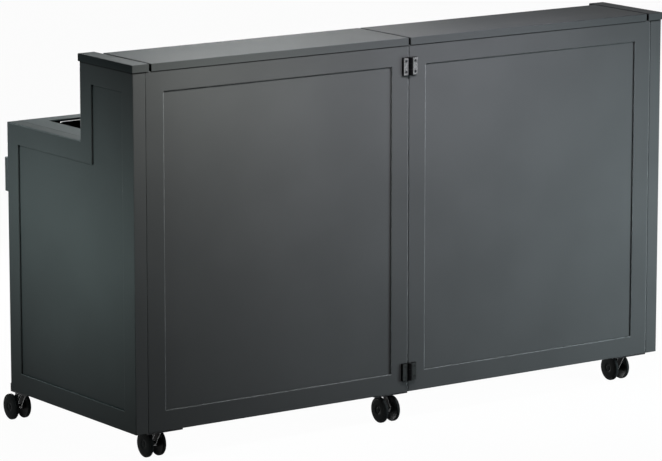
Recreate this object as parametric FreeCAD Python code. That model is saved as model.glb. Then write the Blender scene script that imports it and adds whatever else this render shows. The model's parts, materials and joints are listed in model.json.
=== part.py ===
import FreeCAD, Part
import math
import os

# Folding portable bar. Two panelled halves meet at the front centre, where two hinges let the
# right half swing forward until the front panels lie face to face. Millimetres, +Z up, the
# customer's side faces -Y. The left half is modelled first and most of the right half mirrors it.

# Overall sizes
length = 1830.0
depth = 667.0
panel_height = 997.0
counter_drop = 242.5
wing_upper_depth = 272.0
top_depth = 241.0
overhang = 4.0
centre_gap = 2.0
seam_gap = 1.0
overrun = 5.0
same_place = 0.01

# Framed panels
frame_thick = 39.0
frame_width = 58.0
frame_arris = 1.2
field_recess = 5.5
field_thick = 12.0
field_lap = 10.0
field_play = 0.5

# Bar tops and wing caps
top_thick = 21.0
top_round = 2.0
top_gap = 6.5
cap_lap = 11.0

# Work counter
counter_thick = 21.0
counter_play = 1.0

# Ice bin and its cut-out
bin_length = 530.0
bin_width = 325.0
bin_depth = 200.0
bin_side_inset = 68.0
bin_rear_inset = 50.0
bin_rebate = 8.0
bin_ledge = 12.0
bin_play = 1.0
bin_hang_play = 2.0
bin_wall = 3.0
bin_taper = 14.0
bin_corner = 30.0
bin_flange_thick = 3.0
bin_flange_corner = 6.0
bin_rim_thick = 2.0

# Centre uprights, shelves and cleats
upright_thick = 18.0
upright_rear_inset = 20.0
shelf_thick = 18.0
shelf_height = 320.0
shelf_rear_inset = 20.0
shelf_play = 1.0
cleat_reach = 30.0
cleat_height = 25.0
cleat_rear_inset = 30.0
cleat_play = 1.0

# Grip on the rear edge of each wing
grip_reach = 16.0
grip_height = 97.0
grip_drop = 102.0
grip_groove = 10.0
grip_lip = 5.0
grip_arris = 1.5

# Cam connectors between wing and front panel
cam_radius = 7.3
cam_bore_play = 0.2
cam_thick = 13.0
cam_edge = 34.0
cam_slot_width = 1.6
cam_slot_depth = 2.0
dowel_radius = 3.5
dowel_play = 0.3
dowel_hold = 10.0
cam_height_shares = (0.1, 0.5, 0.9)

# Magnetic catches between the two uprights
magnet_radius = 10.0
magnet_thick = 5.0
magnet_play = 0.2
magnet_rear_inset = 30.0
magnet_height_shares = (0.3, 0.8)

# Centre hinges
hinge_height = 50.0
hinge_inset = 34.5
hinge_leaf_thick = 9.0
hinge_leaf_inner = 8.0
hinge_leaf_outer = 24.0
hinge_fold_clear = 0.5
hinge_barrel_radius = 6.0
hinge_pin_radius = 2.5
hinge_running_play = 0.05
hinge_knuckle_gap = 0.3
hinge_arm_thick = 6.0
hinge_arris = 1.5
hinge_pin_head_radius = 4.0
hinge_pin_head = 1.5
hinge_screw_spacing = 30.6
hinge_screw_radius = 2.2
hinge_sink_radius = 4.2
hinge_sink_depth = 2.0

# Casters
wheel_radius = 37.5
wheel_thick = 11.5
wheel_span = 54.0
wheel_tread_chamfer = 2.5
wheel_dome = 1.6
wheel_dome_shares = ((1.0, 0.0), (0.7, 0.65), (0.35, 1.0))
wheel_hub_radius = 9.5
wheel_dish = 2.5
wheel_dish_inner = 12.0
wheel_dish_outer = 31.0
wheel_skin = 3.0
wheel_top_clear = 1.5
caster_trail = 22.0
fork_width = 25.0
fork_leg_thick = 3.0
fork_eye_radius = 9.0
fork_shoulder = 7.5
fork_leg_half = 11.0
crown_radius = 17.0
crown_thick = 5.0
crown_chamfer = 1.2
swivel_gap = 0.5
kingpin_radius = 5.0
kingpin_head_radius = 7.5
kingpin_head = 4.0
axle_radius = 4.0
running_play = 0.05
side_play = 0.3

# Caster brackets
bracket_thick = 4.0
bracket_length = 112.0
bracket_front_inset = 1.0
bracket_flange = 50.0
front_stem_inset = 51.0
rear_stem_inset = 22.0
rear_bracket_length = 84.0
rear_flange_thick = 3.0
rear_flange_height = 20.0
rear_bend_round = 2.5

# Levels above the floor
crown_low = 2 * wheel_radius + wheel_top_clear
bracket_low = crown_low + crown_thick + swivel_gap
panel_low = bracket_low + bracket_thick
panel_top = panel_low + panel_height
bar_top_level = panel_top + top_thick
counter_level = bar_top_level - counter_drop
counter_low = counter_level - counter_thick
shelf_level = panel_low + shelf_height

# Places along X, on the left half
wing_out = -length / 2
wing_in = wing_out + frame_thick
panel_left = wing_in + seam_gap
panel_right = -centre_gap / 2
upright_left = panel_right - upright_thick
cap_right = wing_in + cap_lap
top_left = cap_right + top_gap
top_right = -top_gap / 2

# Places along Y, measured from the front plane
hinge_axis_y = -(hinge_leaf_thick + hinge_fold_clear)
upright_rear = depth - upright_rear_inset
upright_tall_rear = top_depth - upright_rear_inset
rear_stem_y = depth - rear_stem_inset
front_reach = hinge_barrel_radius - hinge_axis_y
rear_reach = rear_stem_y + caster_trail + wheel_radius
to_centre_y = (front_reach - rear_reach) / 2


def vec(x, y, z):
    return FreeCAD.Vector(x, y, z)


def block(x_pair, y_pair, z_pair):
    size = [high - low for low, high in (x_pair, y_pair, z_pair)]
    return Part.makeBox(*size, vec(x_pair[0], y_pair[0], z_pair[0]))


def rod(radius, start, end):
    run = end - start
    return Part.makeCylinder(radius, run.Length, start, run)


def prism(points, run):
    """Extrudes the flat outline through the points along a vector."""
    return Part.Face(Part.makePolygon(points + points[:1])).extrude(run)


def side_prism(outline, x_pair):
    """Extrudes an outline of (y, z) points across a pair of x values."""
    points = [vec(x_pair[0], y, z) for y, z in outline]
    return prism(points, vec(x_pair[1] - x_pair[0], 0, 0))


def mirrored(shape):
    return shape.mirror(vec(0, 0, 0), vec(1, 0, 0))


def group(shapes):
    return Part.makeCompound(shapes)


def edges_where(shape, test):
    """Edges whose every vertex passes the test."""
    return [edge for edge in shape.Edges if all(test(vertex.Point) for vertex in edge.Vertexes)]


def near(value, level):
    return abs(value - level) < same_place


def rounded_slab(x_pair, y_pair, z_pair, radius):
    """A slab whose upper edges and upright corners are rounded."""
    slab = block(x_pair, y_pair, z_pair)
    top_edges = edges_where(slab, lambda point: near(point.z, z_pair[1]))
    corners = [edge for edge in slab.Edges if near(edge.BoundBox.ZLength, z_pair[1] - z_pair[0])]
    return slab.makeFillet(radius, top_edges + corners)


def rounded_rectangle(centre, size, radius):
    """A closed wire of four sides and four quarter arcs, level at the centre's height."""
    half_x = size[0] / 2
    half_y = size[1] / 2
    diagonal = radius * (1 - math.sqrt(0.5))
    signs = ((1, -1), (1, 1), (-1, 1), (-1, -1))
    edges = []
    corners = []
    for turn, (sx, sy) in enumerate(signs):
        along_x = vec(sx * (half_x - radius), sy * half_y, 0)
        along_y = vec(sx * half_x, sy * (half_y - radius), 0)
        middle = vec(sx * (half_x - diagonal), sy * (half_y - diagonal), 0)
        ends = (along_x, along_y) if turn % 2 == 0 else (along_y, along_x)
        corners.append([centre + point for point in (ends[0], middle, ends[1])])
    for corner, following in zip(corners, corners[1:] + corners[:1]):
        edges.append(Part.Arc(*corner).toShape())
        edges.append(Part.LineSegment(corner[2], following[0]).toShape())
    return Part.Wire(edges)


def front_outline(inset):
    """The front panel's outline in X and Z, drawn in by an inset on every side."""
    return (
        (panel_left + inset, panel_right - inset),
        (panel_low + inset, panel_top - inset),
    )


def wing_outline(inset):
    """The stepped wing outline in Y and Z, drawn in by an inset on every side."""
    low = panel_low + inset
    step_y = wing_upper_depth - inset
    step_z = counter_level - inset
    top = panel_top - inset
    return (
        (inset, low),
        (depth - inset, low),
        (depth - inset, step_z),
        (step_y, step_z),
        (step_y, top),
        (inset, top),
    )


def cam_levels():
    return [panel_low + share * panel_height for share in cam_height_shares]


def cam_y():
    return frame_thick - cam_thick / 2


def front_frame():
    """Stiles and rails of the front panel, rebated from behind and bored for the connectors."""
    x_pair, z_pair = front_outline(0)
    frame = block(x_pair, (0, frame_thick), z_pair)
    x_pair, z_pair = front_outline(frame_width)
    frame = frame.cut(block(x_pair, (-overrun, field_recess + overrun), z_pair))
    x_pair, z_pair = front_outline(frame_width - field_lap)
    frame = frame.cut(block(x_pair, (field_recess, frame_thick + overrun), z_pair))
    frame = frame.makeFillet(frame_arris, edges_where(frame, lambda point: near(point.y, 0)))
    cam_x = panel_left + cam_edge
    for level in cam_levels():
        seat = vec(cam_x, frame_thick - cam_thick, level)
        mouth = vec(cam_x, frame_thick + overrun, level)
        frame = frame.cut(rod(cam_radius + cam_bore_play, seat, mouth))
        edge_hole = vec(panel_left - overrun, cam_y(), level)
        frame = frame.cut(rod(dowel_radius + dowel_play, edge_hole, vec(cam_x, cam_y(), level)))
    return frame


def front_field():
    """The recessed board of the front panel, seated against the frame's rebate."""
    x_pair, z_pair = front_outline(frame_width - field_lap + field_play)
    return block(x_pair, (field_recess, field_recess + field_thick), z_pair)


def wing_frame():
    """Stepped end frame, recessed on its outer face, with blind holes for the connectors."""
    frame = side_prism(wing_outline(0), (wing_out, wing_in))
    opening = (wing_out - overrun, wing_out + field_recess + overrun)
    frame = frame.cut(side_prism(wing_outline(frame_width), opening))
    rebate = (wing_out + field_recess, wing_in + overrun)
    frame = frame.cut(side_prism(wing_outline(frame_width - field_lap), rebate))
    frame = frame.makeFillet(frame_arris, edges_where(frame, lambda point: near(point.x, wing_out)))
    for level in cam_levels():
        mouth = vec(wing_in + overrun, cam_y(), level)
        hole_end = vec(wing_in - dowel_hold - dowel_play, cam_y(), level)
        frame = frame.cut(rod(dowel_radius + dowel_play, mouth, hole_end))
    return frame


def wing_field():
    """The stepped recessed board of the wing."""
    outline = wing_outline(frame_width - field_lap + field_play)
    face = wing_out + field_recess
    return side_prism(outline, (face, face + field_thick))


def connectors():
    """Cams in the front panel's rear face and the dowels that they draw the wing in with."""
    pieces = []
    cam_x = panel_left + cam_edge
    for level in cam_levels():
        centre = vec(cam_x, cam_y(), level)
        seat = vec(cam_x, frame_thick - cam_thick, level)
        face = vec(cam_x, frame_thick, level)
        cam = rod(cam_radius, seat, face)
        entry = vec(cam_x - cam_radius - overrun, cam_y(), level)
        cam = cam.cut(rod(dowel_radius + dowel_play, entry, centre))
        slot_y = (frame_thick - cam_slot_depth, frame_thick + overrun)
        slot_z = (level - cam_slot_width / 2, level + cam_slot_width / 2)
        cam = cam.cut(block((cam_x - cam_radius, cam_x + cam_radius), slot_y, slot_z))
        hold = vec(wing_in - dowel_hold, cam_y(), level)
        dowel = rod(dowel_radius, hold, centre - vec(dowel_radius, 0, 0))
        pieces += [cam, dowel]
    return group(pieces)


def wing_cap():
    x_pair = (wing_out - overhang, cap_right)
    y_pair = (-overhang, wing_upper_depth + overhang)
    return rounded_slab(x_pair, y_pair, (panel_top, bar_top_level), top_round)


def bar_top():
    y_pair = (-overhang, top_depth)
    return rounded_slab((top_left, top_right), y_pair, (panel_top, bar_top_level), top_round)


def upright():
    """Stepped board at the centre that carries the counter and the bar top."""
    outline = (
        (frame_thick, panel_low),
        (upright_rear, panel_low),
        (upright_rear, counter_low),
        (upright_tall_rear, counter_low),
        (upright_tall_rear, panel_top),
        (frame_thick, panel_top),
    )
    board = side_prism(outline, (upright_left, panel_right))
    for place in magnet_places():
        mouth = place + vec(overrun, 0, 0)
        board = board.cut(rod(magnet_radius + magnet_play, place - vec(magnet_thick, 0, 0), mouth))
    return board


def magnet_places():
    """Centres of the catch faces on the left upright's meeting face."""
    rise = counter_low - panel_low
    levels = [panel_low + share * rise for share in magnet_height_shares]
    return [vec(panel_right, upright_rear - magnet_rear_inset, level) for level in levels]


def catch_discs():
    return group([rod(magnet_radius, p - vec(magnet_thick, 0, 0), p) for p in magnet_places()])


def plain_counter():
    """Counter board, notched round the tall part of the upright."""
    x_pair = (wing_in + counter_play, panel_right)
    y_pair = (frame_thick + counter_play, depth + overhang)
    board = block(x_pair, y_pair, (counter_low, counter_level))
    rear_edges = edges_where(board, lambda p: near(p.z, counter_level) and near(p.y, y_pair[1]))
    board = board.makeFillet(top_round, rear_edges)
    notch_x = (upright_left - counter_play, panel_right + overrun)
    notch_y = (frame_thick - overrun, upright_tall_rear + counter_play)
    return board.cut(block(notch_x, notch_y, (counter_low - overrun, counter_level + overrun)))


def bin_centre(level):
    """Middle of the bin's cut-out at a level."""
    x = wing_in + bin_side_inset + bin_length / 2
    return vec(x, depth - bin_rear_inset - bin_width / 2, level)


def span(middle, size):
    return (middle - size / 2, middle + size / 2)


def bin_counter():
    """The left counter, with a rebated cut-out whose ledge carries the ice bin."""
    board = plain_counter()
    ledge_level = counter_level - bin_rebate
    centre = bin_centre(ledge_level)
    upper = (span(centre.x, bin_length), span(centre.y, bin_width))
    board = board.cut(block(*upper, (ledge_level, counter_level + overrun)))
    through = (span(centre.x, bin_length - 2 * bin_ledge), span(centre.y, bin_width - 2 * bin_ledge))
    return board.cut(block(*through, (counter_low - overrun, ledge_level + overrun)))


def bin_tub_size(inset):
    """Length and width of the tub at its mouth, drawn in by an inset."""
    drawn_in = 2 * (bin_ledge + bin_hang_play + inset)
    return (bin_length - drawn_in, bin_width - drawn_in)


def tub_solid(inset, low, high):
    """A tapered tub form between two levels, smaller by an inset all round."""
    mouth = bin_tub_size(inset)
    foot = bin_tub_size(inset + bin_taper)
    wires = [
        rounded_rectangle(bin_centre(low), foot, bin_corner - inset),
        rounded_rectangle(bin_centre(high), mouth, bin_corner - inset),
    ]
    return Part.makeLoft(wires, True, True)


def flange_slab(low, thick):
    """Slab with rounded corners that fits the counter's rebate."""
    size = (bin_length - 2 * bin_play, bin_width - 2 * bin_play)
    wire = rounded_rectangle(bin_centre(low), size, bin_flange_corner)
    return Part.Face(wire).extrude(vec(0, 0, thick))


def ice_bin():
    """Moulded tub that hangs by its flange from the counter's ledge."""
    ledge_level = counter_level - bin_rebate
    flange_top = ledge_level + bin_flange_thick
    floor = flange_top - bin_depth
    body = tub_solid(0, floor, ledge_level).fuse(flange_slab(ledge_level, bin_flange_thick))
    return body.removeSplitter().cut(tub_solid(bin_wall, floor + bin_wall, flange_top))


def bin_rim():
    """Bright frame that edges the bin's mouth and lies on its flange."""
    low = counter_level - bin_rebate + bin_flange_thick
    mouth = rounded_rectangle(bin_centre(low - overrun), bin_tub_size(bin_wall), bin_corner - bin_wall)
    hole = Part.Face(mouth).extrude(vec(0, 0, bin_rim_thick + 2 * overrun))
    return flange_slab(low, bin_rim_thick).cut(hole)


def shelf():
    x_pair = (wing_in + shelf_play, upright_left - shelf_play)
    y_pair = (frame_thick + shelf_play, depth - shelf_rear_inset)
    return block(x_pair, y_pair, (shelf_level - shelf_thick, shelf_level))


def cleats():
    """Battens under the bar top, the counter and the shelf."""
    wing_x = (wing_in, wing_in + cleat_reach)
    upright_x = (upright_left - cleat_reach, upright_left)
    front_x = (wing_x[1] + cleat_play, upright_x[0] - cleat_play)
    run_y = (frame_thick, depth - cleat_rear_inset)
    front_y = (frame_thick, frame_thick + cleat_reach)
    top_y = (frame_thick, top_depth - cleat_rear_inset)
    top_z = (panel_top - cleat_height, panel_top)
    counter_z = (counter_low - cleat_height, counter_low)
    shelf_low = shelf_level - shelf_thick
    shelf_z = (shelf_low - cleat_height, shelf_low)
    return group([
        block(wing_x, top_y, top_z),
        block(wing_x, run_y, counter_z),
        block(upright_x, run_y, counter_z),
        block(front_x, front_y, counter_z),
        block(wing_x, run_y, shelf_z),
        block(upright_x, run_y, shelf_z),
    ])


def wing_grip():
    """Grip block on the wing's rear edge, grooved for the fingers on its inner side."""
    high = counter_level - grip_drop
    low = high - grip_height
    grip = block((wing_out, wing_in), (depth, depth + grip_reach), (low, high))
    outer = edges_where(grip, lambda point: near(point.y, depth + grip_reach))
    grip = grip.makeFillet(grip_arris, outer)
    groove_y = depth + grip_reach - grip_lip - grip_groove
    groove = rod(grip_groove, vec(wing_in, groove_y, low - overrun), vec(wing_in, groove_y, high + overrun))
    return grip.cut(groove)


def hinge_lows():
    return [panel_low + hinge_inset, panel_top - hinge_inset - hinge_height]


def knuckle_spans():
    """Three (low, high) heights of the knuckles above a hinge's lower end."""
    pitch = hinge_height / 3
    half_gap = hinge_knuckle_gap / 2
    return [
        (0, pitch - half_gap),
        (pitch + half_gap, 2 * pitch - half_gap),
        (2 * pitch + half_gap, hinge_height),
    ]


def hinge_leaf(low, knuckles):
    """Left-hand leaf: a plate on the front face, with arms that end in the named knuckles."""
    high = low + hinge_height
    leaf = block((-hinge_leaf_outer, -hinge_leaf_inner), (-hinge_leaf_thick, 0), (low, high))
    face_edges = edges_where(leaf, lambda point: near(point.y, -hinge_leaf_thick))
    leaf = leaf.makeFillet(hinge_arris, face_edges)
    arm_y = (-hinge_leaf_thick + hinge_arris, -hinge_leaf_thick + hinge_arris + hinge_arm_thick)
    for start, end in knuckles:
        base = vec(0, hinge_axis_y, low + start)
        tip = vec(0, hinge_axis_y, low + end)
        arm_x = (-hinge_leaf_inner - hinge_arris, 0)
        leaf = leaf.fuse(block(arm_x, arm_y, (base.z, tip.z)))
        leaf = leaf.fuse(rod(hinge_barrel_radius, base, tip))
        bore = hinge_pin_radius + hinge_running_play
        leaf = leaf.cut(rod(bore, base - vec(0, 0, overrun), tip + vec(0, 0, overrun)))
    screw_x = -(hinge_leaf_inner + hinge_leaf_outer) / 2
    for rise in span(low + hinge_height / 2, hinge_screw_spacing):
        mouth = vec(screw_x, -hinge_leaf_thick, rise)
        leaf = leaf.cut(rod(hinge_screw_radius, mouth - vec(0, overrun, 0), vec(screw_x, overrun, rise)))
        sink = Part.makeCone(
            hinge_sink_radius, hinge_screw_radius, hinge_sink_depth, mouth, vec(0, 1, 0)
        )
        leaf = leaf.cut(sink)
    return leaf.removeSplitter()


def left_hinge_leaves():
    spans = knuckle_spans()
    return group([hinge_leaf(low, (spans[0], spans[2])) for low in hinge_lows()])


def right_hinge_leaves():
    return mirrored(group([hinge_leaf(low, knuckle_spans()[1:2]) for low in hinge_lows()]))


def hinge_pins():
    """Headed pins through the three knuckles of each hinge."""
    pins = []
    for low in hinge_lows():
        foot = vec(0, hinge_axis_y, low)
        head = foot + vec(0, 0, hinge_height)
        tip = head + vec(0, 0, hinge_pin_head)
        pins.append(rod(hinge_pin_radius, foot, head).fuse(rod(hinge_pin_head_radius, head, tip)))
    return group(pins)


def front_bracket(stem_x, flange_right):
    """Steel plate under the left front panel, with a welded flange up its rear face and two gussets."""
    x_pair = span(stem_x, bracket_length)
    plate_rear = 2 * front_stem_inset - bracket_front_inset
    plate = block(x_pair, (bracket_front_inset, plate_rear), (bracket_low, panel_low))
    flange_x = (x_pair[0], min(x_pair[1], flange_right))
    flange_y = (frame_thick, frame_thick + bracket_thick)
    plate = plate.fuse(block(flange_x, flange_y, (panel_low, panel_low + bracket_flange)))
    gusset = (
        (flange_y[1], panel_low),
        (plate_rear, panel_low),
        (flange_y[1], panel_low + bracket_flange),
    )
    for start in (flange_x[0], flange_x[1] - bracket_thick):
        plate = plate.fuse(side_prism(gusset, (start, start + bracket_thick)))
    stem = vec(stem_x, front_stem_inset, bracket_low)
    return plate.cut(kingpin_hole(stem)).removeSplitter()


def bracket(name, stem_x):
    """The bracket of a named caster. Brackets of the right half mirror those of the left."""
    left_x = -abs(stem_x)
    if name.startswith("front"):
        shape = front_bracket(left_x, upright_left - seam_gap)
    else:
        shape = rear_bracket(left_x)
    return mirrored(shape) if stem_x > 0 else shape


def rear_bracket(stem_x):
    """Steel angle under the rear end of a wing, turned up over its rear edge."""
    x_pair = span(stem_x, frame_thick)
    bend = depth + rear_flange_thick
    angle = block(x_pair, (depth - rear_bracket_length, bend), (bracket_low, panel_low))
    flange_z = (bracket_low, panel_low + rear_flange_height)
    angle = angle.fuse(block(x_pair, (depth, bend), flange_z)).removeSplitter()
    corner = edges_where(angle, lambda point: near(point.y, bend) and near(point.z, bracket_low))
    angle = angle.makeFillet(rear_bend_round, corner)
    return angle.cut(kingpin_hole(vec(stem_x, rear_stem_y, bracket_low)))


def kingpin_hole(stem):
    low = stem - vec(0, 0, overrun)
    return rod(kingpin_radius + running_play, low, stem + vec(0, 0, bracket_thick + overrun))


def kingpin(stem):
    """Riveted pivot: flush with the bracket above, headed under the fork's crown."""
    top = vec(stem.x, stem.y, panel_low)
    head_top = vec(stem.x, stem.y, crown_low - side_play)
    head_low = head_top - vec(0, 0, kingpin_head)
    return rod(kingpin_radius, head_low, top).fuse(rod(kingpin_head_radius, head_low, head_top))


def axle_point(stem, trail):
    return vec(stem.x, stem.y + trail, wheel_radius)


def fork(stem, trail):
    """Crown on the kingpin with two tapered legs that reach back to the axle between the wheels."""
    side = math.copysign(1, trail)
    base = vec(stem.x, stem.y, crown_low)
    crown = rod(crown_radius, base, base + vec(0, 0, crown_thick))
    rim = edges_where(crown, lambda point: near(point.z, crown_low + crown_thick))
    crown = crown.makeChamfer(crown_chamfer, rim)
    axle = axle_point(stem, trail)
    outline = (
        (stem.y - side * fork_leg_half, crown_low),
        (stem.y + side * fork_leg_half, crown_low),
        (axle.y + side * fork_eye_radius, axle.z + fork_shoulder),
        (axle.y + side * fork_eye_radius, axle.z),
        (axle.y - side * fork_eye_radius, axle.z),
    )
    body = crown
    for start in (-fork_width / 2, fork_width / 2 - fork_leg_thick):
        x_pair = (stem.x + start, stem.x + start + fork_leg_thick)
        eye_start = vec(x_pair[0], axle.y, axle.z)
        eye_end = vec(x_pair[1], axle.y, axle.z)
        leg = side_prism(outline, x_pair).fuse(rod(fork_eye_radius, eye_start, eye_end))
        body = body.fuse(leg)
    across = vec(fork_width, 0, 0)
    body = body.cut(rod(axle_radius + running_play, axle - across, axle + across))
    pivot = rod(kingpin_radius + running_play, base - vec(0, 0, overrun), base + vec(0, 0, 2 * crown_thick))
    return body.cut(pivot).removeSplitter()


def axle_half():
    return wheel_span / 2 - wheel_skin - side_play


def axle(stem, trail):
    centre = axle_point(stem, trail)
    half = vec(axle_half(), 0, 0)
    return rod(axle_radius, centre - half, centre + half)


def wheel(stem, trail, side):
    """Disc wheel: eased tread, plain slightly domed face outside, dished and hubbed face inside."""
    inner = wheel_span / 2 - wheel_thick
    outer = wheel_span / 2
    rim = outer - wheel_dome
    hub = fork_width / 2 + side_play
    bore = axle_radius + running_play
    bore_end = outer - wheel_skin
    dish = inner + wheel_dish
    ease = wheel_tread_chamfer
    face_radius = wheel_radius - ease
    dome = [(rim + rise * wheel_dome, out * face_radius) for out, rise in wheel_dome_shares]
    profile = [
        (outer, 0),
        (bore_end, 0),
        (bore_end, bore),
        (hub, bore),
        (hub, wheel_hub_radius),
        (dish, wheel_dish_inner),
        (dish, wheel_dish_outer),
        (inner, wheel_dish_outer + wheel_dish),
        (inner, wheel_radius - ease),
        (inner + ease, wheel_radius),
        (rim - ease, wheel_radius),
    ] + dome
    points = [vec(along, 0, radius) for along, radius in profile]
    disc = Part.Face(Part.makePolygon(points + points[:1])).revolve(vec(0, 0, 0), vec(1, 0, 0), 360)
    if side < 0:
        disc = mirrored(disc)
    return disc.translated(axle_point(stem, trail))


def caster_stems():
    """Stem places and trails by caster name. The front centre caster trails forward."""
    inset = bracket_length / 2
    rear_x = wing_out + frame_thick / 2
    front_x = panel_left + inset
    return {
        "front_left": (vec(front_x, front_stem_inset, bracket_low), caster_trail),
        "front_centre": (vec(panel_right - inset, front_stem_inset, bracket_low), -caster_trail),
        "rear_left": (vec(rear_x, rear_stem_y, bracket_low), caster_trail),
        "front_right": (vec(-front_x, front_stem_inset, bracket_low), caster_trail),
        "rear_right": (vec(-rear_x, rear_stem_y, bracket_low), caster_trail),
    }


def half_nodes():
    """The left half's solids that the right half repeats in mirror image."""
    return {
        "front_frame": front_frame(),
        "front_field": front_field(),
        "wing_frame": wing_frame(),
        "wing_field": wing_field(),
        "wing_cap": wing_cap(),
        "bar_top": bar_top(),
        "upright": upright(),
        "shelf": shelf(),
        "cleats": cleats(),
        "grip": wing_grip(),
        "connectors": connectors(),
    }


def all_nodes():
    nodes = {}
    for name, shape in half_nodes().items():
        nodes["left_" + name] = shape
        nodes["right_" + name] = mirrored(shape)
    nodes["left_counter"] = bin_counter()
    nodes["right_counter"] = mirrored(plain_counter())
    nodes["ice_bin"] = ice_bin()
    nodes["ice_bin_rim"] = bin_rim()
    nodes["left_catch_magnets"] = catch_discs()
    nodes["right_catch_strikes"] = mirrored(catch_discs())
    nodes["left_hinge_leaves"] = left_hinge_leaves()
    nodes["right_hinge_leaves"] = right_hinge_leaves()
    nodes["hinge_pins"] = hinge_pins()
    pins = {"left_kingpins": [], "right_kingpins": []}
    for name, (stem, trail) in caster_stems().items():
        nodes[name + "_bracket"] = bracket(name, stem.x)
        nodes[name + "_fork"] = fork(stem, trail)
        nodes[name + "_axle"] = axle(stem, trail)
        nodes[name + "_wheel_a"] = wheel(stem, trail, -1)
        nodes[name + "_wheel_b"] = wheel(stem, trail, 1)
        pins["right_kingpins" if stem.x > 0 else "left_kingpins"].append(kingpin(stem))
    for name, shapes in pins.items():
        nodes[name] = group(shapes)
    return nodes


def main():
    """Writes each node, moved so that the origin lies at the middle of the footprint on the floor."""
    os.makedirs("parts", exist_ok=True)
    for name, shape in all_nodes().items():
        placed = shape.translated(vec(0, to_centre_y, 0))
        placed.exportStep("parts/" + name + ".step")
        print(name, len(placed.Solids), placed.isValid(), round(placed.Volume))


main()
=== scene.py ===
"""Looks of a folding portable bar: finishes, casters, bin and fasteners around its construction."""

import json
import logging
import math
from dataclasses import dataclass, replace
from enum import Enum

import bmesh
import bpy
from mathutils import Matrix, Vector


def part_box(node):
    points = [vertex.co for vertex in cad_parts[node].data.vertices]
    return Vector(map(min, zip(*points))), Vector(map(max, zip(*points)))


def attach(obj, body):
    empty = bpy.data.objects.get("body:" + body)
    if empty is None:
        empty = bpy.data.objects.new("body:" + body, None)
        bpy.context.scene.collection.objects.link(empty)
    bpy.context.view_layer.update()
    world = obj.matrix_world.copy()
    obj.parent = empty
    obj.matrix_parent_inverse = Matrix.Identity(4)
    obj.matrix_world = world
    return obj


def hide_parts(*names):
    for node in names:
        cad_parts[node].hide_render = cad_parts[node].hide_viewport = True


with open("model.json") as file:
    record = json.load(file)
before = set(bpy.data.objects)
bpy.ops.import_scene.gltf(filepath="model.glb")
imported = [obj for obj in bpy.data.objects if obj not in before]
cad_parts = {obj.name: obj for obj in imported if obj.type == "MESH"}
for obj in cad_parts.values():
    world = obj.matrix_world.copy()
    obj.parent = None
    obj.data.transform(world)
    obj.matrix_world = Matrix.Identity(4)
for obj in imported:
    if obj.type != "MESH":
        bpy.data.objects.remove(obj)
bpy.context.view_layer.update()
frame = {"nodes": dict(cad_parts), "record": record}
CASTERS = ("front_left", "front_centre", "rear_left", "front_right", "rear_right")
SIDES = ("left", "right")
MERGE_DISTANCE = 0.000001
ROUND_PROFILE = 0.5
log = logging.getLogger("portable_bar")

Colour = tuple[float, float, float]
Triple = tuple[float, float, float]
Pair = tuple[float, float]

# The curve between screen levels and linear light.
SCREEN_TOE = 0.04045
SCREEN_TOE_SLOPE = 12.92
SCREEN_LIFT = 0.055
SCREEN_POWER = 2.4

# Places of the mix node's colour sockets.
MIX_FACTOR = 0
MIX_FIRST = 6
MIX_SECOND = 7
MIX_RESULT = 2

# Settings of the nodes that find edges, ledges and broad faces.
BEVEL_SAMPLES = 4
SHELTER_SAMPLES = 8
SHELTER_LIFT = (0.0, 0.0, 0.9)
BROAD_RANGE = (0.5, 0.9)
SEAM_CORE = 0.9

# Ranges that noise, edges and shelter are stepped over, and the middle of the noise.
MOTTLE_RANGE = (0.3, 0.7)
DULL_RANGE = (0.35, 0.7)
EDGE_START = 0.004
NOISE_MIDDLE = 0.5
SHADED_EDGE_RANGE = (0.15, 0.4)


def from_screen(red: int, green: int, blue: int) -> Colour:
    """Turns a colour as screens show it into the linear values that shaders take.

    Args:
        red, green, blue: Levels from 0 to 255.

    Returns:
        The linear red, green and blue.
    """

    def linear(level: int) -> float:
        """Returns the linear value of one level."""
        share = level / 255
        if share <= SCREEN_TOE:
            return share / SCREEN_TOE_SLOPE
        return ((share + SCREEN_LIFT) / (1 + SCREEN_LIFT)) ** SCREEN_POWER

    return linear(red), linear(green), linear(blue)


class Socket:
    """A shader output that Python arithmetic combines with numbers and other outputs."""

    def __init__(self, graph: "Graph", link: bpy.types.NodeSocket) -> None:
        """Keeps the graph and the output to link from."""
        self.graph = graph
        self.link = link

    def __add__(self, other: "Socket | float") -> "Socket":
        """Returns this value plus another."""
        return self.graph.math("ADD", self, other)

    def __sub__(self, other: "Socket | float") -> "Socket":
        """Returns this value less another."""
        return self.graph.math("SUBTRACT", self, other)

    def __rsub__(self, other: float) -> "Socket":
        """Returns a number less this value."""
        return self.graph.math("SUBTRACT", other, self)

    def __mul__(self, other: "Socket | float") -> "Socket":
        """Returns this value times another."""
        return self.graph.math("MULTIPLY", self, other)

    __radd__ = __add__
    __rmul__ = __mul__


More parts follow.
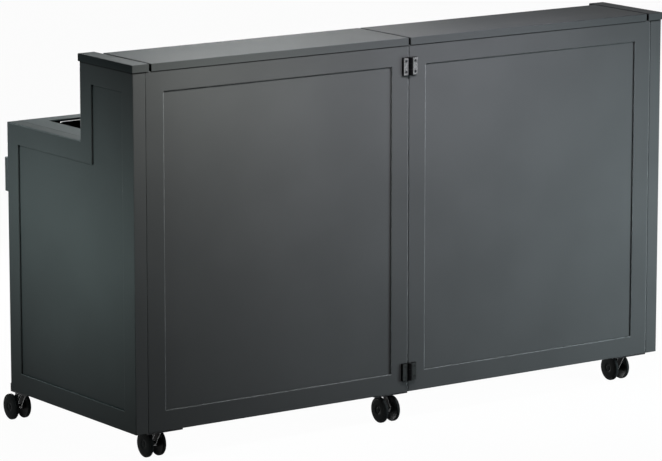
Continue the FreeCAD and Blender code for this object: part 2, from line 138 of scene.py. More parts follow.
class Graph:
    """The node tree of a material or world, filled through one node-making method."""

    def __init__(self, owner: bpy.types.Material | bpy.types.World) -> None:
        """Empties the owner's node tree."""
        owner.use_nodes = True
        self.tree = owner.node_tree
        self.tree.nodes.clear()

    def node(self, kind: str, settings: dict, inputs: dict, output: str | int = 0) -> Socket | None:
        """Adds one node.

        Args:
            kind: Blender's type name of the node.
            settings: Properties, set before the sockets.
            inputs: Values or outputs for the node's sockets, by name or place.
            output: The output to hand on.

        Returns:
            The chosen output, or None on a node that has none.
        """
        made = self.tree.nodes.new(kind)
        for key, value in settings.items():
            setattr(made, key, value)
        for key, value in inputs.items():
            if isinstance(value, Socket):
                self.tree.links.new(value.link, made.inputs[key])
            else:
                made.inputs[key].default_value = value
        return Socket(self, made.outputs[output]) if made.outputs else None

    def math(self, operation: str, first: Socket | float, second: Socket | float) -> Socket:
        """Returns one operation on two values."""
        return self.node("ShaderNodeMath", {"operation": operation}, {0: first, 1: second})

    def blend(self, factor: Socket | float, first: Socket | Colour, second: Socket | Colour) -> Socket:
        """Mixes two colours.

        Args:
            factor: Share of the second colour.
            first, second: Linear colours or colour outputs.

        Returns:
            The mixed colour.
        """
        pair = [value if isinstance(value, Socket) else (*value, 1.0) for value in (first, second)]
        inputs = {MIX_FACTOR: factor, MIX_FIRST: pair[0], MIX_SECOND: pair[1]}
        return self.node("ShaderNodeMix", {"data_type": "RGBA"}, inputs, MIX_RESULT)

    def noise(self, scale: float, detail: float = 2.0, stretch: Triple = (1.0, 1.0, 1.0)) -> Socket:
        """Makes noise on the object's own coordinates.

        Args:
            scale: Features per metre.
            detail: Octaves of finer noise.
            stretch: Scale of each axis, for grain that runs along one of them.

        Returns:
            Noise from 0 to 1.
        """
        place = self.node("ShaderNodeTexCoord", {}, {}, "Object")
        place = self.node("ShaderNodeMapping", {}, {"Vector": place, "Scale": stretch})
        inputs = {"Vector": place, "Scale": scale, "Detail": detail}
        return self.node("ShaderNodeTexNoise", {}, inputs)

    def step(self, value: Socket, low: float, high: float) -> Socket:
        """Returns a smooth step from 0 at the low value to 1 at the high one."""
        inputs = {"Value": value, "From Min": low, "From Max": high}
        return self.node("ShaderNodeMapRange", {"interpolation_type": "SMOOTHSTEP"}, inputs)

    def rounded_normal(self, radius: float) -> Socket:
        """Returns a normal that rounds the edges by a radius."""
        return self.node("ShaderNodeBevel", {"samples": BEVEL_SAMPLES}, {"Radius": radius})

    def vector_math(self, operation: str, first: Socket, second: Socket | Triple) -> Socket:
        """Returns one operation on two vectors, as a number for a dot product."""
        output = "Value" if operation == "DOT_PRODUCT" else "Vector"
        return self.node("ShaderNodeVectorMath", {"operation": operation}, {0: first, 1: second}, output)

    def edge(self, rounded: Socket) -> Socket:
        """Returns how far a rounded normal leans from the true one, which marks the edges."""
        true_normal = self.node("ShaderNodeNewGeometry", {}, {}, "Normal")
        return 1 - self.vector_math("DOT_PRODUCT", rounded, true_normal)

    def lean(self, rounded: Socket, direction: Triple) -> Socket:
        """Measures on the piece's own axes how far an edge's rounding leans towards a direction.

        Args:
            rounded: A normal that rounds the edges.
            direction: The direction, with a length that scales the result.

        Returns:
            The lean, below zero where the edge leans away.
        """
        settings = {"vector_type": "NORMAL", "convert_from": "WORLD", "convert_to": "OBJECT"}
        own_rounded = self.node("ShaderNodeVectorTransform", settings, {"Vector": rounded})
        own_normal = self.node("ShaderNodeTexCoord", {}, {}, "Normal")
        shift = self.vector_math("SUBTRACT", own_rounded, own_normal)
        return self.vector_math("DOT_PRODUCT", shift, direction)

    def sheltered(self, reach: float) -> Socket:
        """Returns 0 in the open and up to 1 on faces that have a ledge above them within a reach."""
        true_normal = self.node("ShaderNodeNewGeometry", {}, {}, "Normal")
        raised = self.vector_math("ADD", true_normal, SHELTER_LIFT)
        raised = self.node("ShaderNodeVectorMath", {"operation": "NORMALIZE"}, {0: raised})
        inputs = {"Distance": reach, "Normal": raised}
        return 1 - self.node("ShaderNodeAmbientOcclusion", {"samples": SHELTER_SAMPLES}, inputs, "AO")

    def broad_face(self, axis: str) -> Socket:
        """Returns 1 on faces that look along one of the piece's own axes and 0 on the others."""
        own_normal = self.node("ShaderNodeTexCoord", {}, {}, "Normal")
        along = self.node("ShaderNodeSeparateXYZ", {}, {"Vector": own_normal}, axis)
        return self.step(self.math("ABSOLUTE", along, 0.0), *BROAD_RANGE)

    def place(self, axis: str) -> Socket:
        """Returns the place along one of the piece's own axes, in metres."""
        spot = self.node("ShaderNodeTexCoord", {}, {}, "Object")
        return self.node("ShaderNodeSeparateXYZ", {}, {"Vector": spot}, axis)

    def off_seam(self, width: float) -> Socket:
        """Returns 0 at the fold's seam and 1 from a width away from it."""
        return self.step(self.math("ABSOLUTE", self.place("X"), 0.0), SEAM_CORE * width, width)

    def bump(self, height: Socket, distance: float, normal: Socket) -> Socket:
        """Returns a normal roughened by a height map on top of another normal."""
        inputs = {"Strength": 1.0, "Distance": distance, "Height": height, "Normal": normal}
        return self.node("ShaderNodeBump", {}, inputs)

    def surface(self, inputs: dict) -> None:
        """Ends a material with a principled shader that takes these sockets."""
        shader = self.node("ShaderNodeBsdfPrincipled", {}, inputs)
        self.node("ShaderNodeOutputMaterial", {}, {"Surface": shader})


@dataclass(frozen=True)
class SatinCoat:
    """A sprayed or moulded satin surface: mottled colour, fine peel, an edge colour that is wear on some
    finishes and painted light on others, painted shadow under ledges and painted shade by height and face.

    Lengths are in metres, and scales are features per metre.
    """

    name: str
    colour: Colour
    shade: Colour
    wear_and_light_colour: Colour
    roughness: float = 0.45
    roughness_swing: float = 0.1
    specular: float = 0.1
    mottle_scale: float = 4.0
    fleck_scale: float = 700.0
    fleck: float = 0.1
    peel_scale: float = 420.0
    peel_height: float = 0.00004
    # The edge colour comes in patches of noise, on edges that lean towards one side: wear on most finishes, a
    # painted highlight on the panels and the fork, and painted shade on the counter.
    edge_radius: float = 0.0012
    wear_and_light_share: float = 0.5
    wear_and_light_scale: float = 60.0
    wear_and_light_start: float = 0.35
    wear_and_light_full: float = 0.65
    wear_and_light_side: Triple = (0.0, 0.0, 1.0)
    wear_and_light_low: float = -0.15
    wear_and_light_high: float = 0.0
    wear_and_light_edge: float = 0.25
    bare_edges: bool = False
    # Painted shadow: a dark tone lies where a ledge within reach shelters a face.
    painted_shadow: float = 0.0
    painted_shadow_reach: float = 0.009
    painted_shadow_start: float = 0.42
    painted_shadow_full: float = 0.72
    painted_shadow_colour: Colour = from_screen(18, 19, 19)
    # Painted shade goes by height, by faces off the broad axis or at the seam, and by faces along the end
    # axis.
    low_shade_colour: Colour | None = None
    low_reach: Pair = (0.4, 0.8)
    side_shade_colour: Colour | None = None
    broad_axis: str = "Y"
    shaded_seam_width: float = 0.0
    end_shade_colour: Colour | None = None
    end_axis: str = "X"

    def toned(self, graph: Graph, flecks: Socket) -> Socket:
        """Builds the colour before the edge colour and the painted shadow.

        Args:
            graph: The material's nodes.
            flecks: The fine noise of the surface.

        Returns:
            The mottled colour with its painted shade by height and face.
        """
        patches = graph.noise(self.mottle_scale, detail=3.0)
        tone = patches * (1 - self.fleck) + flecks * self.fleck
        colour = graph.blend(graph.step(tone, *MOTTLE_RANGE), self.shade, self.colour)
        # Painted shade: low places, faces off the broad axis, the band at the seam and the end faces take
        # darker tones.
        if self.low_shade_colour:
            height = graph.step(graph.place("Z"), *self.low_reach)
            colour = graph.blend(height, self.low_shade_colour, colour)
        if self.side_shade_colour:
            broad = graph.broad_face(self.broad_axis)
            if self.shaded_seam_width:
                broad = broad * graph.off_seam(self.shaded_seam_width)
            colour = graph.blend(broad, self.side_shade_colour, colour)
        if self.end_shade_colour:
            colour = graph.blend(graph.broad_face(self.end_axis), colour, self.end_shade_colour)
        return colour

    def wear_and_light(self, graph: Graph, rounded: Socket) -> Socket:
        """Returns the share of the edge colour at each place, from a normal that rounds the edges; that
        colour is wear on some finishes and painted light on others.
        """
        # The edge colour goes on edges that lean towards the chosen side; where that side is the lamps' side,
        # it is a painted highlight.
        edge_patches = graph.step(graph.noise(self.wear_and_light_scale), self.wear_and_light_start, self.wear_and_light_full)
        edge_patches = edge_patches * graph.step(graph.lean(rounded, self.wear_and_light_side), self.wear_and_light_low, self.wear_and_light_high)
        return graph.step(graph.edge(rounded), EDGE_START, self.wear_and_light_edge) * edge_patches

    def material(self) -> bpy.types.Material:
        """Builds the material.

        Returns:
            The finished material.
        """
        made = bpy.data.materials.new(self.name)
        graph = Graph(made)
        rounded = graph.rounded_normal(self.edge_radius)
        flecks = graph.noise(self.fleck_scale, detail=1.0)
        wear_and_light = self.wear_and_light(graph, rounded)
        colour = self.toned(graph, flecks)
        # Painted shadow: faces under a ledge are darkened towards the shadow colour, and the edge colour
        # fades there.
        if self.painted_shadow:
            closed = graph.sheltered(self.painted_shadow_reach)
            wear_and_light = wear_and_light * (1 - graph.step(closed, *SHADED_EDGE_RANGE))
            shadowed = graph.step(closed, self.painted_shadow_start, self.painted_shadow_full)
            colour = graph.blend(shadowed * self.painted_shadow, colour, self.painted_shadow_colour)
        wear_and_light = wear_and_light * self.wear_and_light_share
        graph.surface({
            "Base Color": graph.blend(wear_and_light, colour, self.wear_and_light_colour),
            "Roughness": (flecks - NOISE_MIDDLE) * self.roughness_swing + self.roughness,
            "Normal": graph.bump(graph.noise(self.peel_scale), self.peel_height, rounded),
            "Specular IOR Level": self.specular,
            "Metallic": wear_and_light if self.bare_edges else 0.0,
        })
        return made


@dataclass(frozen=True)
class BrightMetal:
    """Plated or brushed metal with streaks along one axis and dull patches.

    Lengths are in metres, and scales are features per metre.
    """

    name: str
    colour: Colour
    dull: Colour
    stretch: Triple
    roughness: float = 0.3
    roughness_swing: float = 0.25
    streak_scale: float = 900.0
    patch_scale: float = 45.0
    streak_height: float = 0.00001
    edge_radius: float = 0.0006

    def material(self) -> bpy.types.Material:
        """Builds the material.

        Returns:
            The finished material.
        """
        made = bpy.data.materials.new(self.name)
        graph = Graph(made)
        streaks = graph.noise(self.streak_scale, detail=3.0, stretch=self.stretch)
        patches = graph.noise(self.patch_scale)
        rounded = graph.rounded_normal(self.edge_radius)
        graph.surface({
            "Base Color": graph.blend(graph.step(patches, *DULL_RANGE), self.colour, self.dull),
            "Roughness": (streaks + patches - 2 * NOISE_MIDDLE) * self.roughness_swing + self.roughness,
            "Normal": graph.bump(streaks, self.streak_height, rounded),
            "Metallic": 1.0,
        })
        return made


# Panel lacquer: the pale colour on edges that lean up and to the right is a painted highlight, and the dark
# tone under ledges is painted shadow; the frames copy both.
PANEL_LACQUER = SatinCoat(
    "panel_lacquer", from_screen(78, 79, 79), from_screen(74, 75, 75), from_screen(180, 183, 183),
    specular=0.015, edge_radius=0.004, wear_and_light_share=0.95, wear_and_light_start=0.05, wear_and_light_full=0.55,
    wear_and_light_side=(0.35, 0.0, 1.0), wear_and_light_low=0.03, wear_and_light_high=0.2, wear_and_light_edge=0.1, painted_shadow=0.85,
)
# Top laminate: side faces are painted darker as painted shade, and the gaps between the tops are painted dark
# as painted shadow.
TOP_LAMINATE = SatinCoat(
    "top_laminate", from_screen(79, 81, 82), from_screen(74, 77, 78), from_screen(108, 111, 112),
    roughness=0.5, specular=0.008, peel_scale=1100.0, peel_height=0.00003, edge_radius=0.0015,
    painted_shadow=1.0, painted_shadow_reach=0.02, painted_shadow_start=0.2, painted_shadow_full=0.45, painted_shadow_colour=from_screen(8, 8, 9),
    side_shade_colour=from_screen(70, 72, 72), broad_axis="Z",
)
ALL_FINISHES = (
    PANEL_LACQUER,
    replace(
        PANEL_LACQUER, name="frame_lacquer", colour=from_screen(76, 77, 77), shade=from_screen(72, 73, 73),
    ),
    # Wing lacquer: faces that look up and down are painted darker as painted shade, up-leaning edges carry a
    # painted highlight, and ledges cast painted shadow.
    replace(
        PANEL_LACQUER, name="wing_lacquer", wear_and_light_side=(0.0, 0.0, 1.0), painted_shadow=1.0, painted_shadow_start=0.36,
        painted_shadow_full=0.6, end_shade_colour=from_screen(62, 71, 72), end_axis="Z",
    ),
    TOP_LAMINATE,
    # Cap laminate: its end faces are painted darker still, as painted shade.
    replace(TOP_LAMINATE, name="cap_laminate", end_shade_colour=from_screen(57, 60, 61)),
    # Counter laminate: its edges take a darker tone, painted shade along them.
    SatinCoat(
        "counter_laminate", from_screen(67, 78, 79), from_screen(63, 74, 75), from_screen(30, 33, 34),
        roughness=0.5, specular=0.03, peel_scale=1100.0, peel_height=0.00003, edge_radius=0.003,
        wear_and_light_share=0.9, wear_and_light_start=0.05, wear_and_light_full=0.55,
    ),
    SatinCoat(
        "inner_board", from_screen(68, 73, 74), from_screen(62, 67, 68), from_screen(96, 100, 101),
        roughness=0.5,
    ),
    # Hinge: a black hinge whose broad faces carry a painted highlight; its side faces, the band at the seam
    # and the lower hinge are painted darker as painted shade.
    SatinCoat(
        "hinge_black", from_screen(142, 142, 140), from_screen(40, 40, 40), from_screen(160, 161, 161),
        roughness=0.42, specular=0.03, mottle_scale=320.0, fleck_scale=1400.0, fleck=0.3,
        peel_scale=900.0, peel_height=0.0001, edge_radius=0.0005, wear_and_light_scale=300.0,
        side_shade_colour=from_screen(7, 7, 8), shaded_seam_width=0.0079, low_shade_colour=from_screen(54, 56, 55),
    ),
    SatinCoat(
        "bin_black", from_screen(20, 20, 21), from_screen(16, 16, 17), from_screen(34, 34, 35),
        roughness=0.5, specular=0.0, peel_scale=1500.0, peel_height=0.00005, edge_radius=0.0006,
        wear_and_light_share=0.3,
    ),
    SatinCoat(
        "bracket_black", from_screen(34, 35, 36), from_screen(28, 29, 30), from_screen(70, 71, 72),
        roughness=0.42, specular=0.12, mottle_scale=30.0, peel_scale=1300.0, peel_height=0.00006,
        edge_radius=0.0005,
    ),
    SatinCoat(
        "wheel_black", from_screen(39, 41, 41), from_screen(33, 35, 35), from_screen(46, 48, 48),
        roughness=0.42, specular=0.015, mottle_scale=40.0, peel_scale=1800.0, peel_height=0.00002,
        edge_radius=0.0004, wear_and_light_share=0.3, wear_and_light_scale=160.0,
    ),
    BrightMetal("pin_steel", from_screen(58, 58, 58), from_screen(40, 40, 41), (1.0, 1.0, 0.1)),
    BrightMetal(
        "rim_steel", from_screen(214, 215, 214), from_screen(188, 189, 189), (0.02, 1.0, 1.0), roughness=0.28,
    ),
    # Fork: a dark coat whose every edge is pale bare metal, a painted highlight line along each edge.
    SatinCoat(
        "fork_steel", from_screen(40, 41, 42), from_screen(28, 29, 30), from_screen(214, 215, 215),
        roughness=0.35, specular=0.06, mottle_scale=60.0, edge_radius=0.002, wear_and_light_share=1.0,
        wear_and_light_scale=200.0, wear_and_light_start=0.05, wear_and_light_full=0.3, wear_and_light_low=-1.5, wear_and_light_high=-1.0, wear_and_light_edge=0.1,
        bare_edges=True,
    ),
    BrightMetal(
        "cam_zinc", from_screen(168, 168, 164), from_screen(128, 128, 126), (1.0, 1.0, 1.0), roughness=0.42,
    ),
)
FINISHES = {finish.name: finish for finish in ALL_FINISHES}

# Nodes whose finish differs from that of their record slot.
NODE_FINISHES = {
    f"{side}_{piece}": finish
    for side in SIDES
    for piece, finish in (
        ("counter", "counter_laminate"),
        ("wing_cap", "cap_laminate"),
        ("front_frame", "frame_lacquer"),
        ("wing_frame", "wing_lacquer"),
        ("wing_field", "wing_lacquer"),
    )
}


class Wardrobe:
    """Holds one material per finish and hands it to nodes and pieces."""

    def __init__(self) -> None:
        """Builds every finish once."""
        self.materials = {slot: finish.material() for slot, finish in FINISHES.items()}

    def dress_nodes(self) -> None:
        """Gives each node of the frame its own finish, or that of its record slot."""
        for row in frame["record"]["subparts"]:
            finish = NODE_FINISHES.get(row["node"], row["material_slot"])
            for slot in frame["nodes"][row["node"]].material_slots:
                slot.material = self.materials[finish]

    def piece(
        self, name: str, mesh: bmesh.types.BMesh, slot: str, body: str, nodes: tuple[str, ...] = (),
        sharp_angle: float = 38.0,
    ) -> None:
        """Turns a finished bmesh into a piece that rides on a body.

        Args:
            name: The piece's name.
            mesh: The shape, already in place. It is freed.
            slot: The record slot that it takes its finish from.
            body: The body that it rides on.
            nodes: Nodes that it stands for.
            sharp_angle: Edges that turn by more degrees than this stay crisp.
        """
        bmesh.ops.remove_doubles(mesh, verts=mesh.verts, dist=MERGE_DISTANCE)
        bmesh.ops.recalc_face_normals(mesh, faces=mesh.faces)
        data = bpy.data.meshes.new(name)
        mesh.to_mesh(data)
        mesh.free()
        for polygon in data.polygons:
            polygon.use_smooth = True
        data.set_sharp_from_angle(angle=math.radians(sharp_angle))
        data.materials.append(self.materials[slot])
        made = bpy.data.objects.new(name, data)
        bpy.context.scene.collection.objects.link(made)
        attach(made, body)
        if nodes:
            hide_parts(*nodes)
        log.info("%s rides on %s", name, body)


def spin(mesh: bmesh.types.BMesh, profile: list[Vector], centre: Vector, axis: Vector, steps: int) -> None:
    """Spins an open profile once round an axis.

    Args:
        mesh: The bmesh that takes the shape.
        profile: Points from one end of the profile to the other.
        centre: A point on the axis.
        axis: The axis.
        steps: Segments in the turn.
    """
    points = [mesh.verts.new(point) for point in profile]
    edges = [mesh.edges.new(pair) for pair in zip(points, points[1:])]
    bmesh.ops.spin(
        mesh, geom=points + edges, cent=centre, axis=axis, angle=math.tau, steps=steps, use_merge=True,
    )


class HeadForm(Enum):
    """Shapes of screw heads."""

    COUNTERSUNK = "countersunk"
    PAN = "pan"


@dataclass
class ScrewHead:
    """A cross-recessed screw head. Lengths are in metres."""

    form: HeadForm
    radius: float
    depth: float
    sides: int = 24
    recess_share: float = 0.62
    web_share: float = 0.2
    recess_depth_share: float = 0.6
    pan_shares: tuple[Pair, ...] = ((0.95, 0.55), (0.8, 0.86), (0.64, 0.97))
    cone_foot_share: float = 0.52
    arm_half_angle: float = math.pi / 10

    def outline(self) -> list[Vector]:
        """Returns the head's profile from its foot to the edge of the recess, in X and Z."""
        edge = self.radius * self.recess_share
        if self.form is HeadForm.COUNTERSUNK:
            foot = self.radius * self.cone_foot_share
            return [Vector((0, 0, -self.depth)), Vector((foot, 0, -self.depth)),
                    Vector((self.radius, 0, 0)), Vector((edge, 0, 0))]
        dome = [Vector((self.radius * out, 0, self.depth * up)) for out, up in self.pan_shares]
        return [Vector((0, 0, 0)), Vector((self.radius, 0, 0)), *dome, Vector((edge, 0, self.depth))]

    def add(self, mesh: bmesh.types.BMesh, place: Vector, outward: Vector) -> None:
        """Adds the head to a bmesh.

        Args:
            mesh: The bmesh that takes the head.
            place: Middle of the face that the head sits in or on.
            outward: Direction that the head faces.
        """
        before = set(mesh.verts)
        section = self.outline()
        top = section[-1].z
        spin(mesh, section, Vector(), Vector((0, 0, 1)), self.sides)
        made = [vertex for vertex in mesh.verts if vertex not in before]
        bmesh.ops.remove_doubles(mesh, verts=made, dist=MERGE_DISTANCE)
        made = [vertex for vertex in mesh.verts if vertex not in before]
        rim = [edge for vertex in made for edge in vertex.link_edges if edge.is_boundary]
        rim = list(dict.fromkeys(rim))
        for vertex in {v for edge in rim for v in edge.verts}:
            quarter = math.atan2(vertex.co.y, vertex.co.x) % (math.pi / 2)
            off_axis = min(quarter, math.pi / 2 - quarter)
            in_arm = off_axis < self.arm_half_angle
            share = self.recess_share if in_arm else self.web_share * math.sqrt(2)
            flat = Vector((vertex.co.x, vertex.co.y, 0)).normalized() * self.radius * share
            vertex.co = Vector((flat.x, flat.y, top))
        walls = bmesh.ops.extrude_edge_only(mesh, edges=rim)["geom"]
        lower = [item for item in walls if isinstance(item, bmesh.types.BMVert)]
        bmesh.ops.translate(mesh, verts=lower, vec=Vector((0, 0, -self.depth * self.recess_depth_share)))
        floor = [item for item in walls if isinstance(item, bmesh.types.BMEdge)
                 and all(vertex in lower for vertex in item.verts)]
        bmesh.ops.contextual_create(mesh, geom=floor)
        made = [vertex for vertex in mesh.verts if vertex not in before]
        turn = outward.to_track_quat("Z", "Y").to_matrix().to_4x4()
        bmesh.ops.transform(mesh, matrix=Matrix.Translation(place) @ turn, verts=made)


@dataclass
class FoldHinges:
    """Countersunk screws of the two centre hinges. Lengths are in metres."""

    height: float = 0.05
    leaf_inner: float = 0.008
    leaf_outer: float = 0.024
    leaf_thick: float = 0.009
    screw_spacing: float = 0.0306
    sunk: float = 0.0003
    head_radius: float = 0.0038
    head_depth: float = 0.0016

    def places(self, side: str) -> list[Vector]:
        """Returns the middles of one side's screw heads."""
        low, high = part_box(f"{side}_hinge_leaves")
        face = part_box(f"{side}_front_frame")[0].y - self.leaf_thick + self.sunk
        x = (self.leaf_inner + self.leaf_outer) / 2 * (-1 if side == "left" else 1)
        middles = (low.z + self.height / 2, high.z - self.height / 2)
        shifts = (-self.screw_spacing / 2, self.screw_spacing / 2)
        return [Vector((x, face, middle + shift)) for middle in middles for shift in shifts]

    def build(self, wardrobe: Wardrobe) -> None:
        """Makes one piece of screws for each half."""
        head = ScrewHead(HeadForm.COUNTERSUNK, self.head_radius, self.head_depth)
        for side in SIDES:
            mesh = bmesh.new()
            for place in self.places(side):
                head.add(mesh, place, Vector((0, -1, 0)))
            wardrobe.piece(f"{side}_hinge_screws", mesh, "bracket_black", f"{side}_half")


@dataclass
class BracketScrews:
    """Pan-head screws that hold the caster brackets to the panels. Lengths are in metres."""

    head_radius: float = 0.0045
    head_depth: float = 0.0028
    plate_thick: float = 0.004
    flange_rise: float = 0.03
    end_inset: float = 0.025
    spacing: float = 0.036
    rear_rise: float = 0.01
    rear_spacing: float = 0.02

    def places(self, caster: str) -> list[Vector]:
        """Returns where one bracket's screw heads sit, on the flange's rear face."""
        low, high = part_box(f"{caster}_bracket")
        panel_low = low.z + self.plate_thick
        middle = (low.x + high.x) / 2
        if caster.startswith("rear"):
            level = panel_low + self.rear_rise
            return [Vector((middle + shift * self.rear_spacing / 2, high.y, level)) for shift in (-1, 1)]
        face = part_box("left_front_frame")[1].y + self.plate_thick
        outward = math.copysign(1, middle)
        end = low.x if middle < 0 else high.x
        steps = (self.end_inset, self.end_inset + self.spacing)
        return [Vector((end - outward * step, face, panel_low + self.flange_rise)) for step in steps]

    def build(self, wardrobe: Wardrobe) -> None:
        """Makes one piece of screws for each half."""
        head = ScrewHead(HeadForm.PAN, self.head_radius, self.head_depth)
        meshes = {side: bmesh.new() for side in SIDES}
        for caster in CASTERS:
            side = "right" if caster.endswith("right") else "left"
            for place in self.places(caster):
                head.add(meshes[side], place, Vector((0, 1, 0)))
        for side, mesh in meshes.items():
            wardrobe.piece(f"{side}_bracket_screws", mesh, "bracket_black", f"{side}_half")


@dataclass
class CasterWheels:
    """Moulded twin wheels: capped and grooved faces, rounded treads and dished inner sides.

    The profile is in shares of the wheel's radius, and of its width counted from the outer face.
    """

    steps: int = 80
    face_shares: tuple[Pair, ...] = (
        (0.0, 0.0), (0.0, 0.17), (0.012, 0.2), (0.045, 0.215), (0.045, 0.25), (0.02, 0.262), (0.03, 0.45),
        (0.055, 0.65), (0.09, 0.8), (0.1, 0.825), (0.14, 0.835), (0.14, 0.855), (0.11, 0.865), (0.14, 0.93),
    )
    tread_round_share: float = 0.062
    rim_depth_share: float = 0.81
    dish_shares: tuple[Pair, ...] = (
        (0.81, 0.9), (0.63, 0.83), (0.63, 0.32), (1.0, 0.253), (1.0, 0.12), (0.3, 0.12), (0.3, 0.0),
    )
    arc_steps: int = 5
    sharp_angle: float = 50.0

    def profile(self, width: float, radius: float) -> list[Pair]:
        """Works out the wheel's section.

        Args:
            width: The wheel's width from its outer face to the end of its hub.
            radius: The wheel's radius.

        Returns:
            Points of depth and radius, from the middle of the outer face to the bottom of the bore.
        """
        points = [(depth * width, out * radius) for depth, out in self.face_shares]
        ease = self.tread_round_share * radius
        start = self.face_shares[-1][0] * width
        end = self.rim_depth_share * width
        for depth, lean in ((start + ease, -1), (end - ease, 1)):
            for step in range(self.arc_steps + 1):
                turn = math.pi / 2 * step / self.arc_steps
                along = math.cos(turn) if lean < 0 else math.sin(turn)
                out = math.sin(turn) if lean < 0 else math.cos(turn)
                points.append((depth + lean * ease * along, radius - ease + ease * out))
        return points + [(depth * width, out * radius) for depth, out in self.dish_shares]

    def build(self, wardrobe: Wardrobe) -> None:
        """Makes every wheel in place of its plain node."""
        for caster in CASTERS:
            for letter, outward in (("a", -1), ("b", 1)):
                node = f"{caster}_wheel_{letter}"
                low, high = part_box(node)
                middle = (low + high) / 2
                face = low.x if outward < 0 else high.x
                section = self.profile(high.x - low.x, (high.z - low.z) / 2)
                points = [
                    Vector((face - outward * depth, middle.y, middle.z + out)) for depth, out in section
                ]
                mesh = bmesh.new()
                spin(mesh, points, middle, Vector((1, 0, 0)), self.steps)
                wardrobe.piece(f"{node}_moulding", mesh, "wheel_black", node, (node,), self.sharp_angle)


@dataclass
class Ring:
    """A level ring with rounded corners. Lengths are in metres."""

    half_x: float
    half_y: float
    corner: float
    level: float

    def add(self, mesh: bmesh.types.BMesh, middle: Vector, segments: int) -> list[bmesh.types.BMEdge]:
        """Adds the ring to a bmesh.

        Args:
            mesh: The bmesh that takes the ring.
            middle: Centre in plan.
            segments: Segments in each corner.

        Returns:
            The ring's edges.
        """
        before = set(mesh.edges)
        size = Matrix.Diagonal((self.half_x, self.half_y, 1.0, 1.0))
        place = Matrix.Translation((middle.x, middle.y, self.level))
        grid = bmesh.ops.create_grid(mesh, x_segments=1, y_segments=1, size=1.0, matrix=place @ size)
        bmesh.ops.bevel(
            mesh, geom=grid["verts"], offset=self.corner, offset_type="OFFSET", segments=segments,
            profile=ROUND_PROFILE, affect="VERTICES", material=-1,
        )
        edges = [edge for edge in mesh.edges if edge not in before]
        faces = list({face for edge in edges for face in edge.link_faces})
        bmesh.ops.delete(mesh, geom=faces, context="FACES_ONLY")
        return edges

    def moved(self, point: Vector, middle: Vector, to: "Ring") -> Vector:
        """Carries a point of this ring over to another one.

        Args:
            point: A point on this ring.
            middle: Centre of both rings in plan.
            to: The other ring.

        Returns:
            The point at the same place on the other ring's side or corner.
        """
        spot = []
        for offset, half, other_half in (
            (point.x - middle.x, self.half_x, to.half_x), (point.y - middle.y, self.half_y, to.half_y),
        ):
            arc = abs(offset) - (half - self.corner)
            spot.append(math.copysign(other_half - to.corner + arc * to.corner / self.corner, offset))
        return Vector((middle.x + spot[0], middle.y + spot[1], to.level))


def loft(mesh: bmesh.types.BMesh, rings: list[Ring], middle: Vector, segments: int) -> tuple[list, list]:
    """Draws a skin through rings by extruding the first one from each to the next.

    Args:
        mesh: The bmesh that takes the skin.
        rings: The rings in order.
        middle: Their centre in plan.
        segments: Segments in each corner.

    Returns:
        The edges of the first ring and of the last.
    """
    first = rings[0].add(mesh, middle, segments)
    last = first
    for ring, following in zip(rings, rings[1:]):
        drawn = bmesh.ops.extrude_edge_only(mesh, edges=last)["geom"]
        points = {item for item in drawn if isinstance(item, bmesh.types.BMVert)}
        edges = [item for item in drawn if isinstance(item, bmesh.types.BMEdge)]
        last = [edge for edge in edges if points.issuperset(edge.verts)]
        for point in points:
            point.co = ring.moved(point.co, middle, following)
    return first, last


